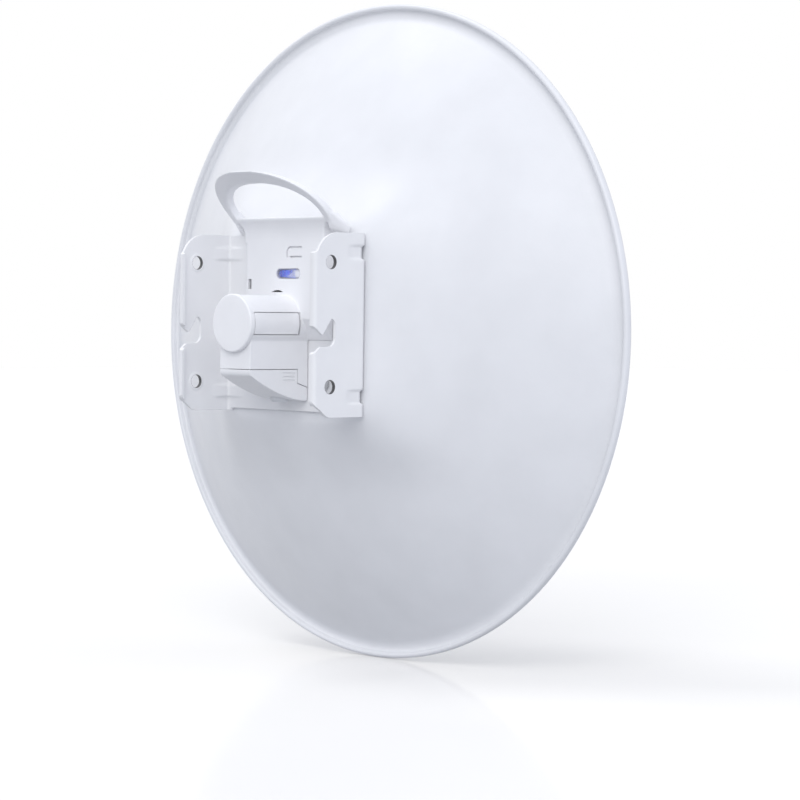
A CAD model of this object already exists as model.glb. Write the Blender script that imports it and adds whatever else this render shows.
"""The looks of the outdoor wireless bridge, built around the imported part. Metres, in the part's own frame."""
import math

import bmesh
import bpy
from mathutils import Matrix, Vector


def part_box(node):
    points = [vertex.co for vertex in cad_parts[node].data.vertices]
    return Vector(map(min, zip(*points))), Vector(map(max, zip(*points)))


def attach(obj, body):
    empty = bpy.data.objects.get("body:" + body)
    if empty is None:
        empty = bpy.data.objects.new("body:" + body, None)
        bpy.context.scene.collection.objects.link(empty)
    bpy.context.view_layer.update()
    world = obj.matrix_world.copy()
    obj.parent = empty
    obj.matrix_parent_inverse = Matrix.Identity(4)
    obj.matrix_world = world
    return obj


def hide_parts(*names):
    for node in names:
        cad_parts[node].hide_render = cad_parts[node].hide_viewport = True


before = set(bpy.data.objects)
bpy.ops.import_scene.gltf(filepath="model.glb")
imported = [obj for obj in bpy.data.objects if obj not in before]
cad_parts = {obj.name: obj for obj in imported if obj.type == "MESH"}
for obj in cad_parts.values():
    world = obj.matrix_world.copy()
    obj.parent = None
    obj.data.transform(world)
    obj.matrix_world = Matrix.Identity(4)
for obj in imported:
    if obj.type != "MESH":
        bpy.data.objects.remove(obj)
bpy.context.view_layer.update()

MM = 0.001

# The part's own dimensions, as its CAD has them.
DISH_RADIUS = 210.0
DISH_AXIS_Z = -5.0
DISH_FOCAL = 140.0
DISH_SHEET = 1.1
PAD_Y = 29.8
PAD_HALF_WIDTH = 66.0
PAD_HALF_HEIGHT = 60.0
FLANGE_X = 63.4
SHEET = 2.0
WEB_FRONT_Y = 29.5
LIP_REAR_Y = -13.3
LIP_TIP_X = 59.0
BRACKET_TOP = 55.5
BRACKET_BOTTOM = -56.0
WEB_BOTTOM = -54.5
BOLT_Z = 37.5
GUSSET_Z = 43.8
WALL_Y = 18.5
HOUSING_FRONT_Y = 27.2
BLOCK_HALF = 36.5
CYLINDER_RADIUS = 17.4
BORE_RADIUS = 15.2
BOX_HALF = 14.0
BOX_REAR_Y = -20.5
SEAM_Z = -28.0
STEP_Y = 18.9
LEVEL_X = 4.4
LEVEL_Z = 31.0
LEVEL_HALF = 11.2
LEVEL_RADIUS = 3.1
TAB_HALF_HEIGHT = 6.65
TAB_ROOT_Y = -19.3
TAB_TIP_Y = 16.6
BOARD_TOP_Z = -4.8
BOARD_BOTTOM_Z = -6.4
JACK_TOP_Z = -6.7
FEED_WINDOW_HALF = 13.2
FEED_WINDOW_LOW = -21.0
FEED_WINDOW_HIGH = 15.6
DISH_SCREWS = [(x, z) for z in (36.0, -36.0) for x in (-28.0, 28.0)]
HOUSING_SCREWS = [(x, z) for z in (53.0, 6.0) for x in (-31.0, 31.0)]


# ---------------------------------------------------------------- mesh helpers

def link(name, bm):
    """A new object from a bmesh drawn in millimetres."""
    bmesh.ops.recalc_face_normals(bm, faces=bm.faces[:])
    bmesh.ops.scale(bm, vec=(MM, MM, MM), verts=bm.verts[:])
    mesh = bpy.data.meshes.new(name)
    bm.to_mesh(mesh)
    bm.free()
    made = bpy.data.objects.new(name, mesh)
    bpy.context.scene.collection.objects.link(made)
    return made


def settle(obj):
    """Applies an object's modifiers."""
    graph = bpy.context.evaluated_depsgraph_get()
    mesh = bpy.data.meshes.new_from_object(obj.evaluated_get(graph))
    obj.modifiers.clear()
    old = obj.data
    obj.data = mesh
    bpy.data.meshes.remove(old)
    return obj


def carve(obj, bm, operation="DIFFERENCE", solver="MANIFOLD"):
    """Cuts a closed shape out of an object, or joins it on."""
    tool = link("tool", bm)
    step = obj.modifiers.new("carve", "BOOLEAN")
    step.operation = operation
    step.solver = solver
    step.object = tool
    settle(obj)
    bpy.data.objects.remove(tool, do_unlink=True)
    return obj


def soften(obj, voxel, rounds, factor=0.5):
    """Fuses overlapping solids into one skin and rounds its edges and corners, as moulding does."""
    fuse = obj.modifiers.new("fuse", "REMESH")
    fuse.mode = "VOXEL"
    fuse.voxel_size = voxel * MM
    relax = obj.modifiers.new("relax", "SMOOTH")
    relax.factor = factor
    relax.iterations = rounds
    return settle(obj)


def dress(obj, look, body, nodes=(), crease=35.0):
    """Gives a finished piece its material, its body and the CAD nodes it stands for."""
    obj.data.materials.clear()
    obj.data.materials.append(look)
    obj.data.shade_smooth()
    obj.data.set_sharp_from_angle(angle=math.radians(crease))
    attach(obj, body)
    if nodes:
        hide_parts(*nodes)
    return obj


def arc(centre, radius, start, end, steps):
    angles = [math.radians(start + (end - start) * i / steps) for i in range(steps + 1)]
    return [(centre[0] + radius * math.cos(a), centre[1] + radius * math.sin(a)) for a in angles]


def on_plane(axis, point, level):
    u, v = point
    return {"x": (level, u, v), "y": (u, level, v), "z": (u, v, level)}[axis]


def extrude_into(bm, outline, axis, start, end):
    first = [bm.verts.new(on_plane(axis, point, start)) for point in outline]
    last = [bm.verts.new(on_plane(axis, point, end)) for point in outline]
    bm.faces.new(first)
    bm.faces.new(list(reversed(last)))
    for i in range(len(outline)):
        after = (i + 1) % len(outline)
        bm.faces.new((first[i], last[i], last[after], first[after]))


def extruded(outline, axis, start, end):
    bm = bmesh.new()
    extrude_into(bm, outline, axis, start, end)
    return bm


def box_into(bm, x_range, y_range, z_range):
    (x0, x1), (y0, y1) = x_range, y_range
    extrude_into(bm, [(x0, y0), (x1, y0), (x1, y1), (x0, y1)], "z", *z_range)


def box(x_range, y_range, z_range):
    bm = bmesh.new()
    box_into(bm, x_range, y_range, z_range)
    return bm


def turn_into(bm, profile, segments, closed=False, axis="y", centre=(0.0, 0.0)):
    """Turns (radius, height) points about an axis through centre."""
    loops = []
    for radius, height in profile:
        if radius < 1e-6:
            loops.append([bm.verts.new(on_plane(axis, centre, height))] * segments)
            continue
        loop = []
        for i in range(segments):
            angle = 2.0 * math.pi * i / segments
            point = (centre[0] + radius * math.cos(angle), centre[1] + radius * math.sin(angle))
            loop.append(bm.verts.new(on_plane(axis, point, height)))
        loops.append(loop)
    pairs = list(zip(loops, loops[1:]))
    if closed:
        pairs.append((loops[-1], loops[0]))
    for low, high in pairs:
        for i in range(segments):
            after = (i + 1) % segments
            corners = list(dict.fromkeys([low[i], low[after], high[after], high[i]]))
            if len(corners) > 2:
                bm.faces.new(corners)


def turned(profile, segments, closed=False, axis="y", centre=(0.0, 0.0)):
    bm = bmesh.new()
    turn_into(bm, profile, segments, closed, axis, centre)
    return bm


def rod_into(bm, radius, low, high, segments, axis="y", centre=(0.0, 0.0)):
    turn_into(bm, [(0.0, low), (radius, low), (radius, high), (0.0, high)], segments, False, axis, centre)


def bevelled(bm, width, segments=3, limit=40.0, chosen=None):
    """Rounds the edges that fold by more than the limit."""
    bmesh.ops.recalc_face_normals(bm, faces=bm.faces[:])
    fold = math.radians(limit)
    edges = [e for e in bm.edges if len(e.link_faces) == 2 and e.calc_face_angle(0.0) > fold]
    if chosen:
        edges = [e for e in edges if chosen(e.verts[0].co, e.verts[1].co)]
    bmesh.ops.bevel(bm, geom=edges, offset=width, segments=segments, profile=0.5, affect="EDGES")
    return bm


def hull_into(bm, points):
    part = bmesh.new()
    for point in points:
        part.verts.new(point)
    found = bmesh.ops.convex_hull(part, input=part.verts[:])
    loose = [item for item in found["geom_interior"] if isinstance(item, bmesh.types.BMVert)]
    bmesh.ops.delete(part, geom=loose, context="VERTS")
    spare = bpy.data.meshes.new("hull")
    part.to_mesh(spare)
    part.free()
    bm.from_mesh(spare)
    bpy.data.meshes.remove(spare)


def smooth_step(value):
    clamped = min(max(value, 0.0), 1.0)
    return clamped * clamped * (3.0 - 2.0 * clamped)


# ---------------------------------------------------------------- materials

class Nodes:
    """A short hand for building one material's node tree."""

    def __init__(self, name):
        self.material = bpy.data.materials.new(name)
        self.material.use_nodes = True
        self.tree = self.material.node_tree
        self.shader = self.tree.nodes["Principled BSDF"]
        self.place = self.add("ShaderNodeTexCoord").outputs["Object"]

    def add(self, kind, **settings):
        node = self.tree.nodes.new(kind)
        for key, value in settings.items():
            setattr(node, key, value)
        return node

    def wire(self, output, socket):
        self.tree.links.new(output, socket)

    def noise(self, size, detail=2.0, stretch=(1.0, 1.0, 1.0)):
        """Noise with features of about the given size in metres."""
        mapping = self.add("ShaderNodeMapping")
        mapping.inputs["Scale"].default_value = stretch
        self.wire(self.place, mapping.inputs["Vector"])
        node = self.add("ShaderNodeTexNoise")
        node.inputs["Scale"].default_value = 1.0 / size
        node.inputs["Detail"].default_value = detail
        self.wire(mapping.outputs["Vector"], node.inputs["Vector"])
        return node.outputs["Fac"]

    def ramp(self, value, low, high, low_in=0.3, high_in=0.7):
        node = self.add("ShaderNodeMapRange")
        node.inputs["From Min"].default_value = low_in
        node.inputs["From Max"].default_value = high_in
        node.inputs["To Min"].default_value = low
        node.inputs["To Max"].default_value = high
        self.wire(value, node.inputs["Value"])
        return node.outputs["Result"]

    def blend(self, factor, first, second):
        node = self.add("ShaderNodeMix", data_type="RGBA")
        for socket, value in (("A", first), ("B", second)):
            colour_socket = next(s for s in node.inputs if s.name == socket and s.type == "RGBA")
            if hasattr(value, "is_output"):
                self.wire(value, colour_socket)
            else:
                colour_socket.default_value = (*value, 1.0)
        self.wire(factor, node.inputs[0])
        return next(s for s in node.outputs if s.type == "RGBA")

    def bump(self, height, distance, under=None):
        node = self.add("ShaderNodeBump")
        node.inputs["Strength"].default_value = 1.0
        node.inputs["Distance"].default_value = distance
        self.wire(height, node.inputs["Height"])
        if under is not None:
            self.wire(under, node.inputs["Normal"])
        return node.outputs["Normal"]

    def rounded(self, radius):
        node = self.add("ShaderNodeBevel", samples=6)
        node.inputs["Radius"].default_value = radius
        return node.outputs["Normal"]


def tinted(colour, factor):
    return tuple(min(channel * factor, 1.0) for channel in colour)


def skin(name, colour, rough, metal=0.0, tint=0.02, rough_spread=0.05, peel=(0.0025, 0.00002),
         grain=(0.0004, 0.000006), edge=0.0004, coat=0.0, stretch=(1.0, 1.0, 1.0), over=None):
    """A solid finish: slight blotches in its colour, uneven sheen, orange peel, grain and rounded edges."""
    n = Nodes(name)
    blotch = n.ramp(n.noise(0.03, 3.0), 0.0, 1.0)
    colour_out = n.blend(blotch, tinted(colour, 1.0 - tint), tinted(colour, 1.0 + tint))
    if over:
        colour_out = over(n, colour_out)
    n.wire(colour_out, n.shader.inputs["Base Color"])
    sheen = n.ramp(n.noise(0.006, 4.0, stretch), rough - rough_spread, rough + rough_spread)
    n.wire(sheen, n.shader.inputs["Roughness"])
    n.shader.inputs["Metallic"].default_value = metal
    n.shader.inputs["Coat Weight"].default_value = coat
    n.shader.inputs["Coat Roughness"].default_value = 0.15
    normal = n.rounded(edge) if edge else None
    for size, depth in (peel, grain):
        if depth:
            normal = n.bump(n.noise(size, 2.0, stretch), depth, normal)
    if normal is not None:
        n.wire(normal, n.shader.inputs["Normal"])
    return n.material


def bracket_finish():
    """The bracket's powder coat, with bare dark steel on the walls of its bolt holes."""
    def bare_holes(n, colour):
        split = n.add("ShaderNodeSeparateXYZ")
        n.wire(n.place, split.inputs["Vector"])
        height = n.add("ShaderNodeMath", operation="ABSOLUTE")
        n.wire(split.outputs["Z"], height.inputs[0])
        from_bolt = n.add("ShaderNodeMath", operation="SUBTRACT")
        from_bolt.inputs[1].default_value = BOLT_Z * MM
        n.wire(height.outputs["Value"], from_bolt.inputs[0])
        flat = n.add("ShaderNodeCombineXYZ")
        n.wire(split.outputs["Y"], flat.inputs["X"])
        n.wire(from_bolt.outputs["Value"], flat.inputs["Y"])
        reach = n.add("ShaderNodeVectorMath", operation="LENGTH")
        n.wire(flat.outputs["Vector"], reach.inputs[0])
        inside = n.ramp(reach.outputs["Value"], 1.0, 0.0, 0.00432, 0.00436)
        return n.blend(inside, colour, (0.045, 0.045, 0.05))

    return skin("bracket_coat", (0.86, 0.86, 0.87), 0.40, peel=(0.0022, 0.000022), grain=(0.0005, 0.000008),
                edge=0.00035, coat=0.08, over=bare_holes)


def board_finish():
    """Green solder mask over copper tracks, with tinned pads."""
    n = Nodes("board_green")
    cells = n.add("ShaderNodeTexBrick")
    cells.inputs["Scale"].default_value = 260.0
    cells.inputs["Mortar Size"].default_value = 0.028
    cells.inputs["Color1"].default_value = (0.016, 0.105, 0.042, 1.0)
    cells.inputs["Color2"].default_value = (0.013, 0.085, 0.036, 1.0)
    cells.inputs["Mortar"].default_value = (0.030, 0.180, 0.070, 1.0)
    n.wire(n.place, cells.inputs["Vector"])
    spots = n.add("ShaderNodeTexVoronoi")
    spots.inputs["Scale"].default_value = 330.0
    n.wire(n.place, spots.inputs["Vector"])
    pads = n.ramp(spots.outputs["Distance"], 1.0, 0.0, 0.10, 0.16)
    colour = n.blend(pads, cells.outputs["Color"], (0.55, 0.55, 0.50))
    n.wire(colour, n.shader.inputs["Base Color"])
    n.wire(pads, n.shader.inputs["Metallic"])
    n.wire(n.ramp(pads, 0.42, 0.28, 0.0, 1.0), n.shader.inputs["Roughness"])
    n.wire(n.bump(cells.outputs["Fac"], 0.00003), n.shader.inputs["Normal"])
    return n.material


def clear_finish(name, tone, gloss):
    """Thin clear plastic: what is behind shows through, with a sharp reflection on top."""
    n = Nodes(name)
    n.shader.inputs["Base Color"].default_value = (*tone, 1.0)
    n.shader.inputs["Roughness"].default_value = 0.04
    n.wire(n.bump(n.noise(0.004, 2.0), 0.00002), n.shader.inputs["Normal"])
    clear = n.add("ShaderNodeBsdfTransparent")
    clear.inputs["Color"].default_value = (*tone, 1.0)
    facing = n.add("ShaderNodeLayerWeight")
    facing.inputs["Blend"].default_value = 0.25
    weight = n.ramp(facing.outputs["Fresnel"], gloss, 0.6, 0.0, 1.0)
    mix = n.add("ShaderNodeMixShader")
    n.wire(weight, mix.inputs["Fac"])
    n.wire(clear.outputs["BSDF"], mix.inputs[1])
    n.wire(n.shader.outputs["BSDF"], mix.inputs[2])
    n.wire(mix.outputs["Shader"], n.tree.nodes["Material Output"].inputs["Surface"])
    return n.material


def liquid_finish():
    """Blue spirit: deeper towards the vial's ends and its lower side, with a wet gloss."""
    n = Nodes("level_blue")
    split = n.add("ShaderNodeSeparateXYZ")
    n.wire(n.place, split.inputs["Vector"])
    depth = n.ramp(split.outputs["X"], 1.0, 0.0, -0.0062, 0.0015)
    ripples = n.add("ShaderNodeTexWave", wave_type="BANDS", bands_direction="X")
    ripples.inputs["Scale"].default_value = 95.0
    ripples.inputs["Distortion"].default_value = 1.4
    n.wire(n.place, ripples.inputs["Vector"])
    base = n.blend(depth, (0.02, 0.09, 0.86), (0.0, 0.004, 0.36))
    colour = n.blend(n.ramp(ripples.outputs["Fac"], 0.0, 0.5, 0.62, 0.95), base, (0.03, 0.26, 0.95))
    n.wire(colour, n.shader.inputs["Base Color"])
    n.shader.inputs["Roughness"].default_value = 0.12
    n.shader.inputs["Coat Weight"].default_value = 0.6
    return n.material


def floor_finish():
    n = Nodes("pale_floor")
    paper = n.ramp(n.noise(0.3, 3.0), 0.0, 1.0)
    tone = n.blend(paper, (0.985, 0.962, 0.925), (1.0, 0.98, 0.94))
    matt = n.add("ShaderNodeBsdfDiffuse")
    n.wire(tone, matt.inputs["Color"])
    gloss = n.add("ShaderNodeBsdfGlossy")
    gloss.inputs["Color"].default_value = (1.0, 1.0, 1.0, 1.0)
    gloss.inputs["Roughness"].default_value = 0.10
    mix = n.add("ShaderNodeMixShader")
    mix.inputs["Fac"].default_value = 0.16
    n.wire(matt.outputs["BSDF"], mix.inputs[1])
    n.wire(gloss.outputs["BSDF"], mix.inputs[2])
    n.wire(mix.outputs["Shader"], n.tree.nodes["Material Output"].inputs["Surface"])
    return n.material


powder = skin("powder_coat", (0.81, 0.815, 0.835), 0.40, peel=(0.0022, 0.000022), grain=(0.0005, 0.000008),
              edge=0.00045, coat=0.08)
moulded = skin("moulded_white", (0.90, 0.90, 0.915), 0.46, peel=(0.006, 0.00002),
               grain=(0.00035, 0.000007), edge=0.0003)
radome = skin("radome_white", (0.88, 0.88, 0.89), 0.48, peel=(0.008, 0.00002),
              grain=(0.0003, 0.000006), edge=0.0004)
bracket_coat = bracket_finish()
zinc = skin("zinc_finish", (0.62, 0.63, 0.64), 0.32, 1.0, 0.07, 0.09, (0.002, 0.00001),
            (0.0005, 0.00001), 0.00015)
spun = skin("spun_aluminium", (0.80, 0.81, 0.82), 0.28, 1.0, 0.03, 0.08, (0.01, 0.00002),
            (0.0008, 0.00001), 0.0002, stretch=(0.15, 1.0, 1.0))
tin = skin("tinned_steel", (0.66, 0.66, 0.64), 0.30, 1.0, 0.05, 0.10, (0.005, 0.00003),
           (0.0006, 0.000006), 0.0002)
brass = skin("brass_sheet", (0.74, 0.53, 0.24), 0.30, 1.0, 0.06, 0.08, (0.004, 0.00001),
             (0.0006, 0.000006), 0.0002)
black = skin("black_plastic_finish", (0.022, 0.022, 0.025), 0.42, 0.0, 0.10, 0.06, (0.003, 0.00002),
             (0.0003, 0.000008), 0.00025)
pale_rubber = skin("pale_rubber_finish", (0.72, 0.73, 0.75), 0.66, 0.0, 0.05, 0.06, (0.002, 0.00003),
                   (0.0003, 0.00001), 0.0003)
rubber = skin("rubber_finish", (0.17, 0.17, 0.18), 0.72, 0.0, 0.10, 0.08, (0.002, 0.00003),
              (0.0003, 0.00001), 0.0003)
gold = skin("gold_contact", (0.86, 0.62, 0.22), 0.22, 1.0, 0.04, 0.05, (0.002, 0.0), (0.0004, 0.000004), 0.0001)
ceramic = skin("part_ceramic", (0.30, 0.22, 0.15), 0.5, 0.0, 0.12, 0.05, (0.001, 0.00001),
               (0.0003, 0.000004), 0.0001)
board = board_finish()
clear = clear_finish("vial_clear", (0.99, 0.99, 1.0), 0.02)
pipe = clear_finish("light_pipe_clear", (0.80, 0.95, 0.82), 0.25)
blue = liquid_finish()
air = skin("bubble_white", (0.88, 0.89, 0.94), 0.10, 0.0, 0.03, 0.04, (0.003, 0.00004), (0.001, 0.0), 0.0003)


# ---------------------------------------------------------------- dish

def dish_back(x, z):
    """The back face's y: a paraboloid that blends into the flat pad behind the bracket."""
    radius_squared = x * x + (z - DISH_AXIS_Z) ** 2
    bowl = PAD_Y + 0.8 + radius_squared / (4.0 * DISH_FOCAL)
    reach = ((abs(x) / PAD_HALF_WIDTH) ** 6 + (abs(z) / PAD_HALF_HEIGHT) ** 6) ** (1.0 / 6.0)
    start = min(max((reach - 1.0) / 0.85, 0.0), 1.0)
    share = 1.0 - (1.0 - 1.06 * start * start / (start + 0.06)) ** 2.6
    return PAD_Y * (1.0 - share) + bowl * share


def dish_front(x, z):
    step = 0.5
    slope_x = (dish_back(x + step, z) - dish_back(x - step, z)) / (2.0 * step)
    slope_z = (dish_back(x, z + step) - dish_back(x, z - step)) / (2.0 * step)
    return dish_back(x, z) + DISH_SHEET * math.sqrt(1.0 + slope_x ** 2 + slope_z ** 2)


def dish_piece():
    """The pressed bowl, with its pad, its edge groove and its rolled rim."""
    segments = 288
    radii = [25.0 + i * 2.5 for i in range(69)] + [198.5]
    edge = DISH_RADIUS
    groove = [(edge - 9.6, 102.6), (edge - 8.0, 103.35), (edge - 6.6, 103.95), (edge - 5.2, 104.1)]
    groove += [(edge - 4.2, 103.9), (edge - 3.6, 103.3)]
    bead = arc((edge - 1.75, 102.2), 1.75, 175.0, 360.0, 12)
    front = [(edge, 104.2), (edge - 0.3, 105.1), (edge - 1.0, 105.7), (edge - 2.2, 105.9), (edge - 4.5, 105.75)]
    front += [(edge - 6.6, 105.2), (edge - 8.6, 104.45)]
    loops = [("back", radius) for radius in radii]
    loops += [("rim", point) for point in groove + bead + front]
    loops += [("front", radius) for radius in reversed(radii)]
    bm = bmesh.new()
    rows = []
    for kind, value in loops:
        row = []
        for i in range(segments):
            angle = 2.0 * math.pi * i / segments
            radius = value[0] if kind == "rim" else value
            x = radius * math.cos(angle)
            z = DISH_AXIS_Z + radius * math.sin(angle)
            y = {"rim": lambda: value[1], "back": lambda: dish_back(x, z), "front": lambda: dish_front(x, z)}[kind]()
            row.append(bm.verts.new((x, y, z)))
        rows.append(row)
    for low, high in zip(rows, rows[1:] + rows[:1]):
        for i in range(segments):
            after = (i + 1) % segments
            bm.faces.new((low[i], low[after], high[after], high[i]))
    bowl = link("dish_bowl", bm)
    holes = bmesh.new()
    for place in DISH_SCREWS:
        rod_into(holes, 3.3, 25.0, 40.0, 48, "y", place)
    carve(bowl, holes)
    dress(bowl, powder, "dish_frame", ("dish_reflector",), 50.0)


# ---------------------------------------------------------------- bracket

def bracket_section():
    """Half of the sheet's section as (outer, inner, distance from the bend), from mid web to the lip's tip."""
    inner_y = WEB_FRONT_Y - SHEET
    bend = (FLANGE_X - 3.6, WEB_FRONT_Y - 3.6)
    lip = (FLANGE_X - 2.6, LIP_REAR_Y + 2.6)
    pairs = []
    for i in range(32):
        x = bend[0] * i / 32
        pairs.append(((x, WEB_FRONT_Y), (x, inner_y), bend[0] - x))
    for outer, inner in zip(arc(bend, 3.6, 90.0, 0.0, 10), arc(bend, 1.6, 90.0, 0.0, 10)):
        pairs.append((outer, inner, 0.0))
    run = bend[1] - lip[1]
    for i in range(1, 31):
        y = bend[1] - run * i / 30
        pairs.append(((FLANGE_X, y), (FLANGE_X - SHEET, y), bend[1] - y))
    for outer, inner in list(zip(arc(lip, 2.6, 0.0, -90.0, 8), arc(lip, 0.6, 0.0, -90.0, 8)))[1:]:
        pairs.append((outer, inner, run))
    for x in (60.4, 59.7, LIP_TIP_X):
        pairs.append(((x, LIP_REAR_Y), (x, LIP_REAR_Y + SHEET), run))
    return pairs


def dimple(point, distance, z):
    """Moves a point of the right-hand bend inwards where a gusset is pressed into it."""
    ramp = max(1.0 - distance / 12.5, 0.0)
    ramp = ramp * (2.0 - ramp) if distance > 0.0 else 1.0
    near = min(abs(z - GUSSET_Z), abs(z + GUSSET_Z))
    push = 1.8 * ramp ** 1.2 * (1.0 - smooth_step((near - 3.0) / 1.9)) / math.sqrt(2.0)
    return point[0] - push, point[1] - push


def bracket_rows():
    rows = [BRACKET_BOTTOM + (BRACKET_TOP - BRACKET_BOTTOM) * i / 44 for i in range(45)]
    for centre in (GUSSET_Z, -GUSSET_Z):
        rows = [z for z in rows if abs(z - centre) > 5.2]
        rows += [centre - 5.0 + 0.5 * i for i in range(21)]
    return sorted(rows)


def bracket_grid():
    half = bracket_section()
    section = [(outer, inner, distance, -1.0) for outer, inner, distance in reversed(half[1:])]
    section += [(outer, inner, distance, 1.0) for outer, inner, distance in half]
    bm = bmesh.new()
    rows = []
    for z in bracket_rows():
        sheet = []
        for face in (0, 1):
            line = []
            for station in section:
                x, y = dimple(station[face], station[2], z)
                line.append(bm.verts.new((station[3] * x, y, z)))
            sheet.append(line)
        rows.append(sheet)
    count = len(section)
    for low, high in zip(rows, rows[1:]):
        for face in (0, 1):
            for i in range(count - 1):
                bm.faces.new((low[face][i], low[face][i + 1], high[face][i + 1], high[face][i]))
        for end in (0, count - 1):
            bm.faces.new((low[0][end], low[1][end], high[1][end], high[0][end]))
    for outer, inner in (rows[0], rows[-1]):
        for i in range(count - 1):
            bm.faces.new((outer[i], outer[i + 1], inner[i + 1], inner[i]))
    return bm


def hook_slot():
    mouth_top = [(-18.0, 2.9), (-13.3, -0.9)] + [(-7.6, -5.6), (-6.9, -6.1), (-6.3, -6.1), (-5.7, -5.5)]
    seat = [(0.3, 2.8), (0.8, 3.3), (1.4, 3.5), (2.0, 3.2), (3.3, 1.8), (3.8, 1.0), (4.0, 0.0)]
    floor = arc((-1.0, -8.3), 5.0, 0.0, -80.0, 12)
    mouth_floor = [(-7.0, -13.5), (-7.9, -13.7), (-8.7, -14.1), (-13.3, -17.9), (-18.0, -21.8)]
    return mouth_top + seat + floor + mouth_floor


def corner_cuts():
    """The slanted, rounded rear corners of the flanges, as (y, z) outlines to remove."""
    top = [(-15.0, 58.0), (-15.0, 41.8), (-13.3, 42.6), (-12.0, 43.2), (-10.7, 44.2), (-9.9, 45.4), (-9.2, 46.8)]
    top += [(-8.1, 48.5), (-6.6, 50.2), (-5.1, 51.6), (-3.4, 52.7), (-1.8, 53.6), (0.0, 54.4), (2.3, 55.1)]
    top += [(4.8, 55.5), (6.0, 58.0)]
    bottom = [(-15.0, -59.0), (-15.0, -44.6), (-13.3, -46.0), (-12.6, -47.6), (-11.6, -48.8), (-9.9, -50.0)]
    bottom += [(-7.9, -51.2), (-6.2, -52.6), (-4.5, -53.9), (-3.1, -54.9), (-1.6, -55.5), (-0.2, -55.9)]
    bottom += [(1.4, -56.0), (2.4, -59.0)]
    return top, bottom


def bracket_piece():
    bracket = link("bracket_sheet", bracket_grid())
    bosses = bmesh.new()
    inside = FLANGE_X - SHEET
    for side in (-1.0, 1.0):
        for z in (BOLT_Z, -BOLT_Z):
            ring = [(0.0, inside + 0.6), (5.9, inside + 0.6), (5.9, inside), (5.4, inside - 0.35)]
            ring += [(4.9, inside - 0.5), (0.0, inside - 0.5)]
            turn_into(bosses, [(r, side * x) for r, x in ring], 64, False, "x", (0.0, z))
    carve(bracket, bosses, "UNION")
    sides = bmesh.new()
    reach = FLANGE_X + 4.0
    for outline in (hook_slot(), *corner_cuts()):
        extrude_into(sides, outline, "x", -reach, reach)
    carve(bracket, sides)
    holes = bmesh.new()
    for z in (BOLT_Z, -BOLT_Z):
        rod_into(holes, 4.25, -reach, reach, 64, "x", (0.0, z))
    run = FEED_WINDOW_HALF - 3.0
    low, high = FEED_WINDOW_LOW + 3.0, FEED_WINDOW_HIGH - 3.0
    window = arc((run, high), 3.0, 0.0, 90.0, 8) + arc((-run, high), 3.0, 90.0, 180.0, 8)
    window += arc((-run, low), 3.0, 180.0, 270.0, 8) + arc((run, low), 3.0, 270.0, 360.0, 8)
    extrude_into(holes, window, "y", 20.0, 35.0)
    for place in DISH_SCREWS:
        rod_into(holes, 3.3, 20.0, 35.0, 48, "y", place)
    for place in HOUSING_SCREWS:
        cone = [(0.0, 20.0), (1.9, 20.0), (1.9, WEB_FRONT_Y - 1.6), (3.2, WEB_FRONT_Y - 0.2), (3.2, 35.0), (0.0, 35.0)]
        turn_into(holes, cone, 48, False, "y", place)
    box_into(holes, (-58.4, 58.4), (18.0, 36.0), (BRACKET_BOTTOM - 2.0, WEB_BOTTOM))
    carve(bracket, holes)
    dress(bracket, bracket_coat, "dish_frame", ("mounting_bracket",), 30.0)


# ---------------------------------------------------------------- rear housing

def handle_point(share, inward, deep):
    """A point of the handle: share runs 0 to 1 along the arch, the offsets leave its outer rear edge."""
    angle = math.pi * share
    cosine = math.cos(angle)
    sine = max(math.sin(angle), 0.0)
    rise = (30.6 - inward) * sine ** 0.8
    height = rise / 30.6
    across = (48.5 - 0.75 * inward) * math.copysign(abs(cosine) ** 0.88, cosine)
    across *= 1.0 - 0.08 * (1.0 - height) ** 2
    return across, 16.5 - 36.5 * height * (0.7 + 0.3 * height) + deep, 62.3 + rise


def handle_into(bm):
    stations = 90
    section = [(0.8, 0.0), (6.2, 0.0), (7.0, 0.8), (7.0, 6.8), (6.2, 7.6), (0.8, 7.6), (0.0, 6.8), (0.0, 0.8)]
    loops = []
    for i in range(stations + 1):
        loops.append([bm.verts.new(handle_point(i / stations, inward, deep)) for inward, deep in section])
    for low, high in zip(loops, loops[1:]):
        for i in range(8):
            after = (i + 1) % 8
            bm.faces.new((low[i], low[after], high[after], high[i]))
    bm.faces.new(loops[0])
    bm.faces.new(list(reversed(loops[-1])))


def shoulder_into(bm):
    """The wall's upper end, which leans back in a smooth curve to the handle's feet."""
    levels = [(50.0, 18.5, 36.5), (53.0, 18.4, 36.5), (56.0, 18.1, 36.7), (58.5, 17.6, 37.2), (60.5, 16.9, 38.2)]
    levels += [(62.3, 16.1, 39.7), (63.8, 15.2, 41.2), (65.0, 14.7, 42.0), (65.8, 15.0, 41.8), (66.1, 16.4, 41.2)]
    rows = []
    for z, rear, half in levels:
        front = 26.9 if z < 60.0 else 26.9 - (z - 60.0) * 0.9
        rows.append([bm.verts.new(point) for point in ((-half, rear, z), (half, rear, z), (half, front, z),
                                                       (-half, front, z))])
    for low, high in zip(rows, rows[1:]):
        for i in range(4):
            after = (i + 1) % 4
            bm.faces.new((low[i], low[after], high[after], high[i]))
    bm.faces.new(rows[0])
    bm.faces.new(list(reversed(rows[-1])))


def flare_into(bm, side):
    """The gusset from a leg of the handle down to the edge of the dish's pad."""
    half = [(43.0, 13.4, 69.6), (45.6, 14.2, 69.0), (43.5, 16.0, 62.4), (41.5, 17.8, 58.6), (42.0, 19.6, 70.6)]
    half += [(46.5, 20.4, 68.6), (51.5, 27.2, 59.5), (50.0, 27.2, 55.6), (40.0, 26.8, 54.4), (42.0, 27.0, 63.0)]
    hull_into(bm, [(side * x, y, z) for x, y, z in half])


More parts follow.
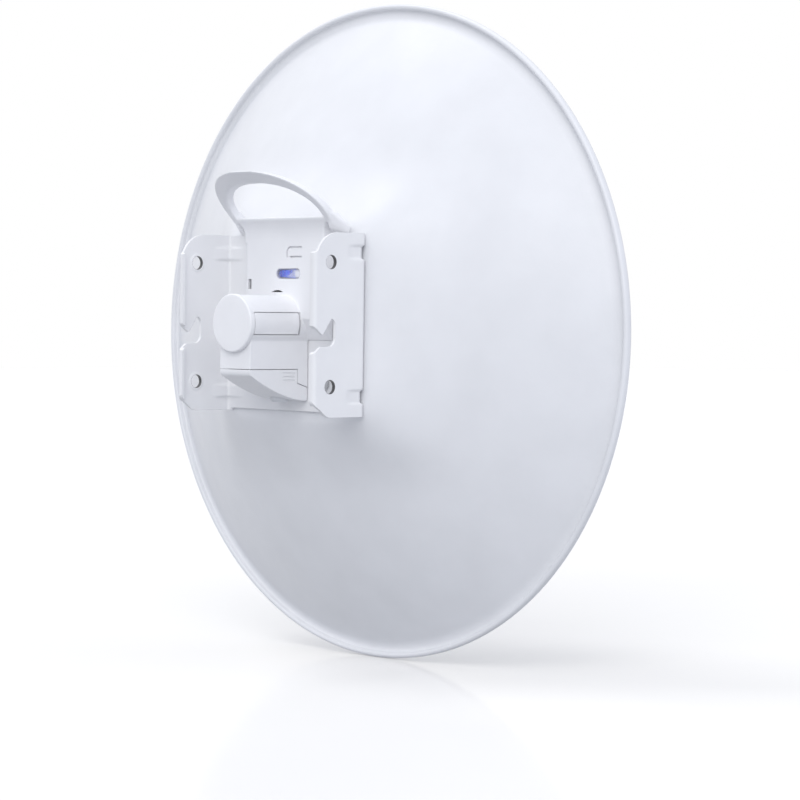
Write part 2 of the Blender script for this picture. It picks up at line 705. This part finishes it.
def level_outline(half, radius):
    run = half - radius
    right = arc((LEVEL_X + run, LEVEL_Z), radius, -90.0, 90.0, 16)
    return right + arc((LEVEL_X - run, LEVEL_Z), radius, 90.0, 270.0, 16)


def wall_features():
    """What is cut in the flat wall: level window, lock mark, crescent and two latch slots."""
    bm = bmesh.new()
    through = (WALL_Y - 1.0, WALL_Y + 3.0)
    shallow = (WALL_Y - 1.0, WALL_Y + 1.5)
    extrude_into(bm, level_outline(LEVEL_HALF, LEVEL_RADIUS), "y", *through)
    outer = [(16.6, 47.9)] + arc((6.0, 44.4), 3.5, 90.0, 180.0, 12) + [(2.5, 41.0)]
    inner = [(3.7, 41.0)] + arc((6.2, 44.3), 2.5, 180.0, 90.0, 12) + [(16.6, 46.8)]
    extrude_into(bm, outer + inner, "y", *shallow)
    box_into(bm, (5.6, 16.6), shallow, (41.0, 41.9))
    extrude_into(bm, [(-11.0, 19.5), (-0.3, 19.5)] + arc((-5.65, 8.6), 12.2, 64.0, 116.0, 16), "y", *through)
    for side in (-1.0, 1.0):
        box_into(bm, sorted((side * 33.2, side * 30.2)), through, (21.4, 27.6))
    return bm


def seam_cut():
    """Everything below the fixed half of the port box, as a (y, z) outline."""
    return [(-26.0, SEAM_Z), (STEP_Y, SEAM_Z), (STEP_Y, -36.7), (HOUSING_FRONT_Y, -39.3), (30.0, -40.2),
            (30.0, -60.0), (-26.0, -60.0)]


def housing_piece():
    """The moulded rear housing: wall, shoulder, handle, cylinder and the fixed half of the port box."""
    bm = bmesh.new()
    side = [(WALL_Y, 60.0), (WALL_Y, 3.0), (26.9, -10.0), (HOUSING_FRONT_Y, -10.0), (HOUSING_FRONT_Y, 60.0)]
    block = extruded(side, "x", -BLOCK_HALF, BLOCK_HALF)
    bevelled(block, 2.6, 4, 60.0, lambda a, b: abs(a.x - b.x) < 1e-6 and min(a.y, b.y) < WALL_Y + 1e-6
             and abs(a.z - b.z) > 1.0)
    spare = bpy.data.meshes.new("block")
    block.to_mesh(spare)
    block.free()
    bm.from_mesh(spare)
    bpy.data.meshes.remove(spare)
    shoulder_into(bm)
    handle_into(bm)
    flare_into(bm, -1.0)
    flare_into(bm, 1.0)
    rod_into(bm, CYLINDER_RADIUS, BOX_REAR_Y, HOUSING_FRONT_Y, 128)
    extrude_into(bm, [(BOX_REAR_Y, 0.0), (BOX_REAR_Y, -34.0), (HOUSING_FRONT_Y, -46.0), (HOUSING_FRONT_Y, 0.0)],
                 "x", -BOX_HALF, BOX_HALF)
    housing = soften(link("housing_shell", bm), 0.5, 9)
    behind = HOUSING_FRONT_Y + 2.0
    carve(housing, extruded(seam_cut(), "x", -30.0, 30.0))
    room = [(WALL_Y + 2.0, 57.0), (WALL_Y + 2.0, 3.6), (26.6, -6.0), (behind, -6.0), (behind, 57.0)]
    carve(housing, extruded(room, "x", -BLOCK_HALF + 2.0, BLOCK_HALF - 2.0))
    carve(housing, box((-12.2, 12.2), (BOX_REAR_Y + 1.8, behind), (SEAM_Z - 1.0, -4.0)))
    carve(housing, box((-12.2, 12.2), (STEP_Y + 1.8, behind), (-36.6, -20.0)))
    bore = bmesh.new()
    rod_into(bore, BORE_RADIUS, BOX_REAR_Y - 2.0, behind, 96)
    carve(housing, bore)
    carve(housing, wall_features())
    tabs = bmesh.new()
    room_y = (TAB_ROOT_Y - 0.3, WALL_Y - 0.4)
    for hand in (-1.0, 1.0):
        edge = [(9.0, 6.95), (22.0, 6.95), (22.0, -9.5), (16.5, -7.4), (15.4, -6.85), (9.0, -6.85)]
        extrude_into(tabs, [(hand * x, z) for x, z in edge], "y", *room_y)
    carve(housing, tabs)
    bosses = bmesh.new()
    for place in HOUSING_SCREWS:
        end = HOUSING_FRONT_Y - 0.3
        boss = [(0.0, 20.0), (3.2, 20.0), (3.2, end), (1.6, end), (1.6, 21.5), (0.0, 21.5)]
        turn_into(bosses, boss, 48, False, "y", place)
    carve(housing, bosses, "UNION")
    dress(housing, moulded, "dish_frame", ("rear_housing",), 38.0)


def cap_piece():
    rim = arc((16.9, -22.7), 1.0, -90.0, 0.0, 8)
    profile = [(0.0, -23.7), (6.0, -23.7), (12.0, -23.7)] + rim + [(17.9, -20.9), (17.7, -20.8), (14.9, -20.8)]
    profile += [(14.9, -17.3), (14.6, -17.0), (12.9, -17.0), (12.9, -21.0), (0.0, -21.0)]
    dress(link("rear_cap_disc", turned(profile, 128)), moulded, "dish_frame", ("rear_cap",))


def tab_piece(name, side, body, node):
    """A release tongue: a strip of the cylinder with a shallow finger hollow and a catch inside its free end."""
    swing = math.degrees(math.asin((TAB_HALF_HEIGHT - 0.05) / CYLINDER_RADIUS))
    rows = 40
    columns = 24
    bm = bmesh.new()
    faces = []
    for outer in (True, False):
        grid = []
        for i in range(rows + 1):
            y = TAB_ROOT_Y + (TAB_TIP_Y - TAB_ROOT_Y) * i / rows
            line = []
            for j in range(columns + 1):
                across = 2.0 * j / columns - 1.0
                angle = math.radians(swing * across)
                hollow = 0.55 * (1.0 - across ** 4) * smooth_step((i / rows - 0.06) / 0.3)
                hollow *= smooth_step((0.97 - i / rows) / 0.12)
                radius = CYLINDER_RADIUS - hollow if outer else CYLINDER_RADIUS - 1.8
                line.append(bm.verts.new((side * radius * math.cos(angle), y, radius * math.sin(angle))))
            grid.append(line)
        faces.append(grid)
    for grid in faces:
        for i in range(rows):
            for j in range(columns):
                bm.faces.new((grid[i][j], grid[i][j + 1], grid[i + 1][j + 1], grid[i + 1][j]))
    outer, inner = faces
    for i in range(rows):
        for j in (0, columns):
            bm.faces.new((outer[i][j], outer[i + 1][j], inner[i + 1][j], inner[i][j]))
    for j in range(columns):
        for i in (0, rows):
            bm.faces.new((outer[i][j], outer[i][j + 1], inner[i][j + 1], inner[i][j]))
    tab = link(name, bm)
    catch = [(15.9, 9.0), (14.6, 12.5), (14.6, 14.5), (15.9, 14.5)]
    carve(tab, extruded([(side * x, y) for x, y in catch], "z", -4.0, 4.0), "UNION")
    dress(tab, moulded, body, (node,))


def level_pieces():
    """The vial behind its window, its liquid, its bubble and the white card behind them."""
    face = WALL_Y + 0.25
    vial = bevelled(extruded(level_outline(LEVEL_HALF - 0.3, LEVEL_RADIUS - 0.3), "y", face, face + 0.8), 0.3, 3)
    dress(link("level_lens", vial), clear, "dish_frame", ("level_vial",))
    start, end = face + 1.0, face + 4.6
    half, radius = LEVEL_HALF - 1.0, LEVEL_RADIUS - 0.75
    run = half - radius
    split = LEVEL_X + 3.6
    liquid = arc((LEVEL_X - run, LEVEL_Z), radius, 90.0, 270.0, 16)
    liquid += arc((split + radius, LEVEL_Z), radius, 270.0, 90.0, 16)
    bm = bevelled(extruded(liquid, "y", start, end), 0.7, 4, 60.0)
    dress(link("level_spirit", bm), blue, "dish_frame", ("level_liquid",))
    bubble = arc((LEVEL_X + run, LEVEL_Z), radius, -90.0, 90.0, 16)
    bubble += arc((split + 0.25 + radius, LEVEL_Z), radius, 90.0, 270.0, 16)
    bm = bevelled(extruded(bubble, "y", start, end), 0.9, 5, 60.0)
    dress(link("level_air", bm), air, "dish_frame", ("level_bubble",))
    marks = bmesh.new()
    for x in (LEVEL_X + 0.9, LEVEL_X + 3.2):
        box_into(marks, (x - 0.16, x + 0.16), (start - 0.12, start + 0.1), (LEVEL_Z - 2.2, LEVEL_Z + 2.2))
    dress(link("level_marks", marks), black, "dish_frame")
    card = extruded(level_outline(LEVEL_HALF + 1.6, LEVEL_RADIUS + 1.6), "y", end + 0.2, end + 1.2)
    cup = extruded(level_outline(LEVEL_HALF + 1.6, LEVEL_RADIUS + 1.6), "y", WALL_Y + 2.1, end + 1.2)
    card.free()
    tray = link("level_cup", cup)
    carve(tray, extruded(level_outline(LEVEL_HALF, LEVEL_RADIUS), "y", WALL_Y, end + 0.2))
    dress(tray, moulded, "dish_frame")


# ---------------------------------------------------------------- port cover

def underside(y):
    share = min(max((y - BOX_REAR_Y) / 47.5, 0.0), 1.0)
    return -31.6 - 16.4 * (1.0 - (1.0 - share) ** 1.75)


def cover_piece():
    """The slide-off tray of the port box, with a curved underside, grip lines and the cable's hole."""
    front = HOUSING_FRONT_Y - 0.2
    steps = 40
    bottom = []
    for i in range(steps + 1):
        y = BOX_REAR_Y + 47.5 * i / steps
        bottom.append((y, underside(y)))
    bm = extruded(bottom + [(front, -22.0), (BOX_REAR_Y, -22.0)], "x", -BOX_HALF, BOX_HALF)
    corner = Vector((0.0, BOX_REAR_Y, -31.6))
    bevelled(bm, 2.6, 8, 40.0, lambda a, b: all((Vector((0.0, p.y, p.z)) - corner).length < 0.1 for p in (a, b)))
    cover = soften(link("cover_tray", bm), 0.4, 9)
    top = [(-26.0, SEAM_Z - 0.35), (STEP_Y - 0.4, SEAM_Z - 0.35), (STEP_Y - 0.4, -37.1), (front + 0.05, -39.7),
           (30.0, -40.7), (30.0, -15.0), (-26.0, -15.0)]
    carve(cover, extruded(top, "x", -30.0, 30.0))
    rear, end = BOX_REAR_Y + 1.8, front - 1.8
    inner = [(y, z + 2.0) for y, z in bottom if rear < y < end]
    inner = [(rear, underside(rear) + 2.0)] + inner + [(end, underside(end) + 2.0), (end, -26.0), (rear, -26.0)]
    carve(cover, extruded(inner, "x", -BOX_HALF + 1.8, BOX_HALF - 1.8))
    details = bmesh.new()
    rod_into(details, 6.0, -52.0, -42.0, 48, "z", (0.0, 16.5))
    for side in (-1.0, 1.0):
        for z in (-30.6, -32.8, -35.0):
            depth = sorted((side * (BOX_HALF - 0.4), side * (BOX_HALF + 1.0)))
            box_into(details, depth, (6.5, 16.0), (z - 0.4, z + 0.4))
    carve(cover, details)
    dress(cover, moulded, "cover", ("port_cover",), 38.0)
    ring = [(3.0, -48.4)] + arc((4.5, -48.0), 0.7, -90.0, 0.0, 5) + [(5.7, -47.6), (5.7, -43.5), (5.4, -43.2)]
    ring += [(3.3, -43.2), (3.0, -43.5)]
    grommet = turned(ring, 64, True, "z", (0.0, 16.5))
    dress(link("grommet_ring", grommet), pale_rubber, "cover", ("cable_grommet",))


# ---------------------------------------------------------------- fasteners

def cross_recess_into(bm, place, top, depth, arm, waist):
    """A cross-shaped driver recess that narrows towards its floor."""
    for turn in (0.0, 90.0):
        angle = math.radians(turn)
        corners = []
        for share, level in ((1.0, top + 0.4), (0.45, top - depth)):
            for u, v in ((-arm, -waist), (arm, -waist), (arm, waist), (-arm, waist)):
                u, v = u * share, v
                x = place[0] + u * math.cos(angle) - v * math.sin(angle)
                z = place[1] + u * math.sin(angle) + v * math.cos(angle)
                corners.append((x, level, z))
        hull_into(bm, corners)


def dish_screw_pieces():
    heads = bmesh.new()
    nuts = bmesh.new()
    recesses = []
    top = PAD_Y + DISH_SHEET + 0.3
    for x, z in [(x, z) for z in (36.0, -36.0) for x in (-28.0, 28.0)]:
        crown = [(0.0, top + 3.3), (2.6, top + 3.2), (4.4, top + 2.8), (5.5, top + 2.0), (5.95, top + 1.0)]
        crown += [(6.0, top + 0.15), (5.8, top), (2.95, top)]
        thread = []
        level = top - 0.4
        while level > 24.4:
            thread += [(2.95, level), (2.6, level - 0.4)]
            level -= 0.8
        turn_into(heads, crown + thread + [(2.3, 24.0), (0.0, 23.9)], 48, False, "y", (x, z))
        recesses.append((x, z))
        ring = [(3.2, 24.0), (3.5, 23.7), (5.2, 23.7), (5.6, 24.1), (5.6, 26.9), (5.3, 27.2), (3.2, 27.2)]
        turn_into(nuts, ring, 48, True, "y", (x, z))
    screws = link("dish_screw_set", heads)
    for turn in (0.0, 90.0):
        tool = bmesh.new()
        for x, z in recesses:
            angle = math.radians(turn + 20.0)
            corners = []
            for share, level in ((1.0, top + 3.8), (0.5, top + 1.3)):
                for u, v in ((-2.7, -0.55), (2.7, -0.55), (2.7, 0.55), (-2.7, 0.55)):
                    u *= share
                    corners.append((x + u * math.cos(angle) - v * math.sin(angle), level,
                                    z + u * math.sin(angle) + v * math.cos(angle)))
            hull_into(tool, corners)
        carve(screws, tool)
    dress(screws, zinc, "dish_frame", [f"dish_screw_{i}" for i in range(1, 5)])
    dress(link("clinch_nut_set", nuts), zinc, "dish_frame", [f"clinch_nut_{i}" for i in range(1, 5)])


# ---------------------------------------------------------------- feed unit

def feed_pieces():
    axis = (0.0, DISH_AXIS_Z)
    collar = [(0.0, 33.0), (30.0, 33.0), (30.7, 33.2), (31.0, 33.7), (31.0, 35.2), (30.7, 35.9), (30.0, 36.3)]
    collar += [(29.2, 36.5), (26.0, 36.5), (0.0, 36.5)]
    base = link("feed_collar", turned(collar, 128, False, "y", axis))
    outer = arc((0.0, 0.0), 14.6, 33.4, 146.6, 36)
    inner = arc((0.0, 0.0), 13.0, 144.6, 35.4, 36)
    tail = [(12.2, -8.8)] + outer + [(-12.2, -8.8), (-10.6, -8.8)] + inner + [(10.6, -8.8)]
    carve(base, extruded(tail, "y", -15.0, 34.0), "UNION")
    socket = [(17.9, 35.5), (19.9, 35.5), (19.9, 43.6), (19.5, 44.0), (18.3, 44.0), (17.9, 43.6)]
    carve(base, turned(socket, 96, True, "y", axis), "UNION")
    carve(base, box((-11.4, 11.4), (-15.4, -13.5), (-3.6, 8.0)), "UNION")
    carve(base, box((-10.7, 10.7), (32.0, 38.0), (-20.5, 6.0)))
    dress(base, radome, "feed_unit", ("feed_base",))
    tube = [(20.2, 37.0), (20.5, 36.8), (21.7, 36.8), (22.0, 37.1), (22.0, 60.0), (22.0, 100.0), (22.0, 149.6)]
    tube += [(21.6, 150.0), (20.6, 150.0), (20.2, 149.6)]
    dress(link("feed_pipe", turned(tube, 128, True, "y", axis)), radome, "feed_unit", ("feed_tube",))
    cap = [(22.4, 139.4), (22.7, 139.0), (23.9, 139.0), (24.2, 139.4), (24.6, 145.5), (25.3, 147.6), (27.0, 151.0)]
    cap += [(28.9, 154.8), (29.8, 157.0), (30.1, 159.5), (30.5, 186.0), (30.2, 189.6), (29.3, 192.4)]
    cap += [(27.4, 195.2), (24.5, 197.5), (20.4, 199.3), (15.0, 200.6), (8.0, 201.4), (0.0, 201.6)]
    lining = [(0.0, 199.4), (8.0, 199.2), (14.4, 198.4), (23.0, 195.6), (27.4, 190.8), (28.4, 185.5)]
    lining += [(28.0, 158.0), (22.4, 148.0)]
    dress(link("feed_radome", turned(cap + lining, 128, True, "y", axis)), radome, "feed_unit",
          ("feed_cap",))
    seams = bmesh.new()
    for radius, y, width in ((22.0, 44.5, 0.7), (22.0, 136.5, 0.7), (30.35, 178.0, 0.6)):
        ring = [(radius - 0.2, y - width), (radius + 0.25, y - width * 0.6), (radius + 0.25, y + width * 0.6),
                (radius - 0.2, y + width)]
        turn_into(seams, ring, 128, True, "y", axis)
    dress(link("feed_beads", seams), radome, "feed_unit")
    seal = [(26.4, 31.4)] + [(26.7, 31.2), (29.9, 31.2), (30.2, 31.4), (30.2, 32.5), (29.9, 32.7), (26.7, 32.7)]
    seal.append((26.4, 32.5))
    dress(link("seal_ring", turned(seal, 128, True, "y", axis)), rubber, "feed_unit", ("feed_seal",))
    mirror = [(0.0, 176.4), (1.6, 176.7), (3.0, 177.6), (5.2, 179.6), (8.0, 181.2), (12.0, 182.7), (16.0, 183.6)]
    mirror += [(26.0, 184.6), (26.2, 185.2), (26.0, 185.8), (15.6, 185.0), (7.2, 182.8), (2.2, 179.4), (0.0, 178.8)]
    dress(link("sub_mirror", turned(mirror, 96, False, "y", axis)), spun, "feed_unit",
          ("sub_reflector",))


def board_pieces():
    """What is soldered to the board, and the port's contacts and shield."""
    chips = bmesh.new()
    for x, y, w, d, h in ((-4.5, 31.5, 5.0, 5.0, 0.9), (4.2, 33.0, 4.0, 5.0, 1.1), (0.0, 46.0, 12.0, 12.0, 1.2),
                          (9.5, 50.0, 4.0, 5.0, 0.9), (0.0, 118.0, 8.0, 8.0, 1.0), (-8.6, 24.0, 2.4, 4.4, 0.9)):
        box_into(chips, (x - w / 2, x + w / 2), (y - d / 2, y + d / 2), (BOARD_BOTTOM_Z - 0.1 - h, BOARD_BOTTOM_Z - 0.1))
    bevelled(chips, 0.12, 2)
    dress(link("board_chips", chips), black, "feed_unit")
    legs = bmesh.new()
    for i in range(9):
        for x, y in ((-6.6, 41.0 + i * 1.25), (6.6, 41.0 + i * 1.25)):
            box_into(legs, (x - 0.55, x + 0.55), (y - 0.22, y + 0.22), (BOARD_BOTTOM_Z - 0.5, BOARD_BOTTOM_Z - 0.1))
    dress(link("chip_legs", legs), tin, "feed_unit")
    small = bmesh.new()
    for i in range(14):
        x = -9.0 + (i * 37 % 19) * 0.98
        y = 18.0 + (i * 23 % 17) * 0.95
        if abs(x + 8.6) < 2.4 and abs(y - 24.0) < 3.4:
            continue
        box_into(small, (x - 0.5, x + 0.5), (y - 0.28, y + 0.28), (BOARD_BOTTOM_Z - 0.75, BOARD_BOTTOM_Z - 0.1))
    bevelled(small, 0.08, 2)
    dress(link("board_passives", small), ceramic, "feed_unit")
    contacts = bmesh.new()
    for i in range(8):
        x = -3.57 + 1.02 * i
        box_into(contacts, (x - 0.18, x + 0.18), (2.35, 2.75), (-18.6, -9.4))
        box_into(contacts, (x - 0.18, x + 0.18), (2.75, 5.4), (-10.2, -9.8))
    dress(link("jack_contacts", contacts), gold, "feed_unit")
    shield = bmesh.new()
    box_into(shield, (-8.35, -8.05), (-2.2, 14.2), (-19.6, -7.0))
    box_into(shield, (8.05, 8.35), (-2.2, 14.2), (-19.6, -7.0))
    box_into(shield, (-8.35, 8.35), (14.05, 14.35), (-19.6, -7.0))
    box_into(shield, (-8.35, 8.35), (-2.35, -2.05), (-19.6, -7.0))
    dress(link("jack_shield", shield), tin, "feed_unit")


# ---------------------------------------------------------------- CAD nodes that stay

def finish_nodes():
    """CAD solids whose shape is right keep it, and get a full finish."""
    looks = {"feed_board": board, "shield_can_radio": tin, "shield_can_power": tin, "ethernet_jack": black,
             "reset_switch": black, "reset_button": rubber, "status_light": pipe, "radiator": brass,
             "radiator_post": moulded}
    looks.update({f"housing_screw_{i}": zinc for i in range(1, 5)})
    for name, look in looks.items():
        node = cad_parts[name]
        for slot in node.material_slots:
            slot.material = look


# ---------------------------------------------------------------- stage, light and camera

def studio():
    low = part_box("dish_reflector")[0]
    tilt = Matrix.Rotation(math.radians(-0.93), 4, "Y")
    bm = bmesh.new()
    steps = 24
    size = 14.0
    grid = [[bm.verts.new((-size + 2 * size * i / steps, -size + 2 * size * j / steps, 0.0))
             for j in range(steps + 1)] for i in range(steps + 1)]
    for i in range(steps):
        for j in range(steps):
            bm.faces.new((grid[i][j], grid[i + 1][j], grid[i + 1][j + 1], grid[i][j + 1]))
    mesh = bpy.data.meshes.new("floor")
    bm.to_mesh(mesh)
    bm.free()
    floor = bpy.data.objects.new("floor", mesh)
    bpy.context.scene.collection.objects.link(floor)
    floor.matrix_world = Matrix.Translation((0.0, 0.0, low.z - 0.0003)) @ tilt
    floor.data.materials.append(floor_finish())
    floor.visible_diffuse = False

    world = bpy.data.worlds.new("studio")
    bpy.context.scene.world = world
    world.use_nodes = True
    tree = world.node_tree
    back = tree.nodes["Background"]
    back.inputs["Strength"].default_value = 1.0
    place = tree.nodes.new("ShaderNodeTexCoord")
    split = tree.nodes.new("ShaderNodeSeparateXYZ")
    tree.links.new(place.outputs["Generated"], split.inputs["Vector"])
    rise = tree.nodes.new("ShaderNodeMapRange")
    rise.inputs["From Min"].default_value = -0.8
    rise.inputs["From Max"].default_value = 0.6
    rise.inputs["To Min"].default_value = 0.33
    rise.inputs["To Max"].default_value = 0.66
    tree.links.new(split.outputs["Z"], rise.inputs["Value"])
    side = tree.nodes.new("ShaderNodeMapRange")
    side.inputs["To Max"].default_value = 0.28
    tree.links.new(split.outputs["X"], side.inputs["Value"])
    both = tree.nodes.new("ShaderNodeMath")
    tree.links.new(rise.outputs["Result"], both.inputs[0])
    tree.links.new(side.outputs["Result"], both.inputs[1])
    tone = tree.nodes.new("ShaderNodeMix")
    tone.data_type = "RGBA"
    tone.blend_type = "MULTIPLY"
    tone.inputs[0].default_value = 1.0
    colours = [s for s in tone.inputs if s.type == "RGBA"]
    colours[1].default_value = (0.94, 0.985, 1.10, 1.0)
    tree.links.new(both.outputs["Value"], colours[0])
    paths = tree.nodes.new("ShaderNodeLightPath")
    either = tree.nodes.new("ShaderNodeMath")
    either.operation = "MAXIMUM"
    tree.links.new(paths.outputs["Is Camera Ray"], either.inputs[0])
    tree.links.new(paths.outputs["Is Glossy Ray"], either.inputs[1])
    choose = tree.nodes.new("ShaderNodeMix")
    choose.data_type = "RGBA"
    pick = [s for s in choose.inputs if s.type == "RGBA"]
    pick[1].default_value = (1.0, 1.0, 1.0, 1.0)
    tree.links.new(next(s for s in tone.outputs if s.type == "RGBA"), pick[0])
    tree.links.new(either.outputs["Value"], choose.inputs[0])
    tree.links.new(next(s for s in choose.outputs if s.type == "RGBA"), back.inputs["Color"])

    for name, towards, strength, spread, colour in (
            ("key", (0.6, -0.8, 0.62), 1.12, 45.0, (1.0, 0.995, 0.985)),
            ("left", (-1.0, -0.35, 0.4), 0.24, 45.0, (0.97, 0.985, 1.0)),
            ("high", (-0.8, -0.3, 1.5), 0.62, 28.0, (1.0, 1.0, 1.0))):
        lamp = bpy.data.lights.new(name, "SUN")
        lamp.energy = strength
        lamp.angle = math.radians(spread)
        lamp.color = colour
        made = bpy.data.objects.new(name, lamp)
        made.rotation_mode = "QUATERNION"
        made.rotation_quaternion = Vector(towards).to_track_quat("Z", "Y")
        bpy.context.scene.collection.objects.link(made)

    data = bpy.data.cameras.new("camera")
    data.sensor_width = 36.0
    data.lens = 115.07
    data.clip_end = 60.0
    camera = bpy.data.objects.new("camera", data)
    bpy.context.scene.collection.objects.link(camera)
    place = Vector((1.1861, -1.0455, 0.0079))
    back_axis = (place - Vector((0.0193, 0.1026, -0.0482))).normalized()
    right = Vector((0.70098, 0.71306, 0.01347))
    right = (right - back_axis * right.dot(back_axis)).normalized()
    up = back_axis.cross(right)
    turn = Matrix((right, up, back_axis)).transposed().to_4x4()
    camera.matrix_world = Matrix.Translation(place) @ turn
    bpy.context.scene.camera = camera
    bpy.context.scene.view_settings.view_transform = "Standard"


dish_piece()
bracket_piece()
housing_piece()
cap_piece()
tab_piece("release_tongue_right", 1.0, "tab_right", "release_tab_right")
tab_piece("release_tongue_left", -1.0, "tab_left", "release_tab_left")
level_pieces()
cover_piece()
dish_screw_pieces()
feed_pieces()
board_pieces()
finish_nodes()
studio()
